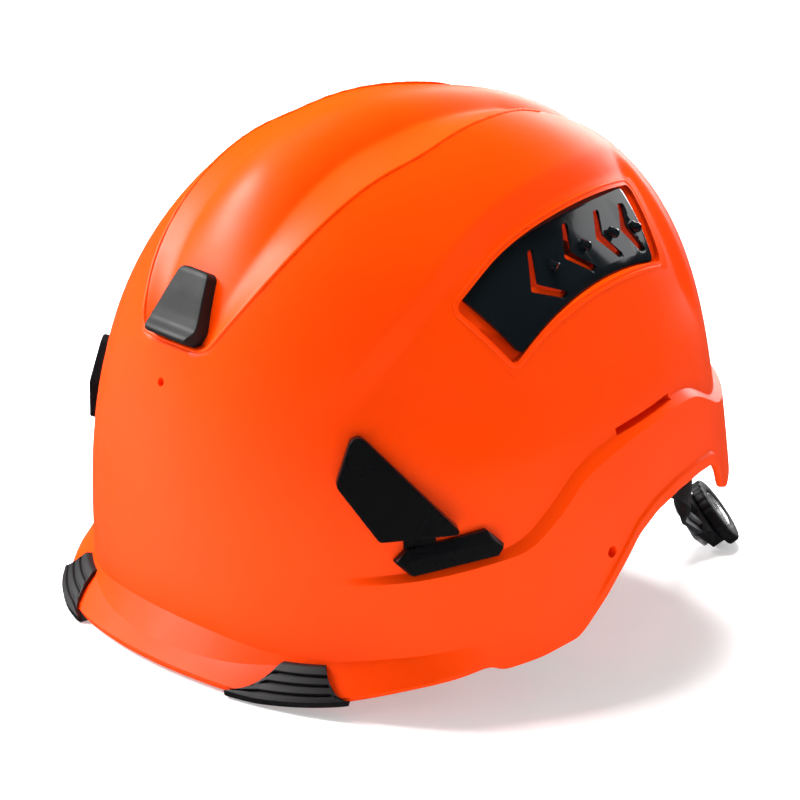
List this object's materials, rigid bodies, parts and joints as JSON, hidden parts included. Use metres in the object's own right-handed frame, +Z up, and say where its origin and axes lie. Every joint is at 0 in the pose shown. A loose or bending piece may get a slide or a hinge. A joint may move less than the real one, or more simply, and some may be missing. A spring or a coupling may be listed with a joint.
{
  "type": "climbing helmet",
  "caption": "Work-at-height climbing helmet with sliding side vent shutters, lamp clips, brim bumpers, webbing suspension, chin harness and a dial-adjusted nape cradle.",
  "frame": {"origin": "middle of the overall box, on the ground it stands on", "axes": "+Z up, -Y towards the brim, +X towards the wearer's left; the helmet stands nose-down 14 degrees on its brim bumpers and nape dial, as pictured"},
  "size_m": [0.2214, 0.3341, 0.2132],
  "materials": {
    "shell": "satin moulded ABS, bright orange",
    "clip": "satin charcoal nylon",
    "rubber": "matt black rubber",
    "shutter": "gloss black moulded plastic",
    "band": "semi-gloss dark polyethylene",
    "foam": "dark grey knit over foam",
    "anchor": "black nylon",
    "webbing": "black woven polyester webbing",
    "metal": "bright metal",
    "acetal": "dark grey acetal",
    "buckle": "black acetal, semi-gloss"
  },
  "bodies": {
    "helmet": {"shell": "shell", "front_lamp_clip": "clip", "rear_lamp_clip": "clip", "left_lamp_clip": "clip", "right_lamp_clip": "clip", "left_brim_bumper": "rubber", "right_brim_bumper": "rubber", "front_headband": "band", "forehead_pad": "foam", "band_hangers": "anchor", "strap_anchors": "anchor", "crown_strap_left": "webbing", "crown_strap_right": "webbing", "crown_strap_side": "webbing", "crown_pad": "foam", "left_pivot_pin": "metal", "right_pivot_pin": "metal", "leg_anchors": "anchor", "left_front_leg": "webbing", "left_rear_leg": "webbing", "right_front_leg": "webbing", "right_rear_leg": "webbing", "left_divider": "buckle", "right_divider": "buckle", "left_chin_strap": "webbing", "right_chin_strap": "webbing", "chin_adjuster": "buckle", "buckle_prong": "buckle", "buckle_socket": "buckle"},
    "left_shutter_body": {"left_vent_shutter": "shutter"},
    "right_shutter_body": {"right_vent_shutter": "shutter"},
    "cradle": {"left_cradle_arm": "band", "right_cradle_arm": "band", "nape_housing": "band", "nape_cover": "band", "cover_screws": "metal", "nape_pad": "foam", "dial_pawl": "metal"},
    "dial": {"dial_knob": "rubber", "dial_cap": "metal", "dial_pinion": "acetal"},
    "left_rack_body": {"left_rack": "acetal"},
    "right_rack_body": {"right_rack": "acetal"},
    "button_body": {"buckle_button": "acetal"}
  },
  "joints": [
    {"name": "left_shutter", "type": "hinge", "parent": "helmet", "child": "left_shutter_body", "pos_m": [0.0825, 0.00847, 0.03467], "axis": [0.9842, 0.1717, 0.0431], "range_deg": [-2, 2]},
    {"name": "right_shutter", "type": "hinge", "parent": "helmet", "child": "right_shutter_body", "pos_m": [-0.0825, 0.00847, 0.03467], "axis": [0.9842, -0.1717, -0.0431], "range_deg": [-2, 2]},
    {"name": "nape_tilt", "type": "hinge", "parent": "helmet", "child": "cradle", "pos_m": [0, 0.02226, 0.07009], "axis": [1, 0, 0], "range_deg": [-12, 8]},
    {"name": "dial_turn", "type": "hinge", "parent": "cradle", "child": "dial", "pos_m": [0, 0.15452, 0.0164], "axis": [0.5299, 0.5209, 0.6692], "range_deg": [-45, 45]},
    {"name": "left_rack_slide", "type": "slide", "parent": "cradle", "child": "left_rack_body", "axis": [-0.2621, 0.8511, -0.455], "range_m": [-0.004, 0.004]},
    {"name": "right_rack_slide", "type": "slide", "parent": "cradle", "child": "right_rack_body", "axis": [0.2621, 0.6499, -0.7134], "range_m": [-0.004, 0.004]},
    {"name": "button_press", "type": "slide", "parent": "helmet", "child": "button_body", "axis": [0, 0.2436, -0.9699], "range_m": [0, 0.001], "stiffness_N_per_m": 300, "springref_m": -0.0006}
  ],
  "couplings": [
    {"joint": "left_rack_slide", "follows": "dial_turn", "m_per_rad": 0.005},
    {"joint": "right_rack_slide", "follows": "dial_turn", "m_per_rad": 0.005}
  ]
}
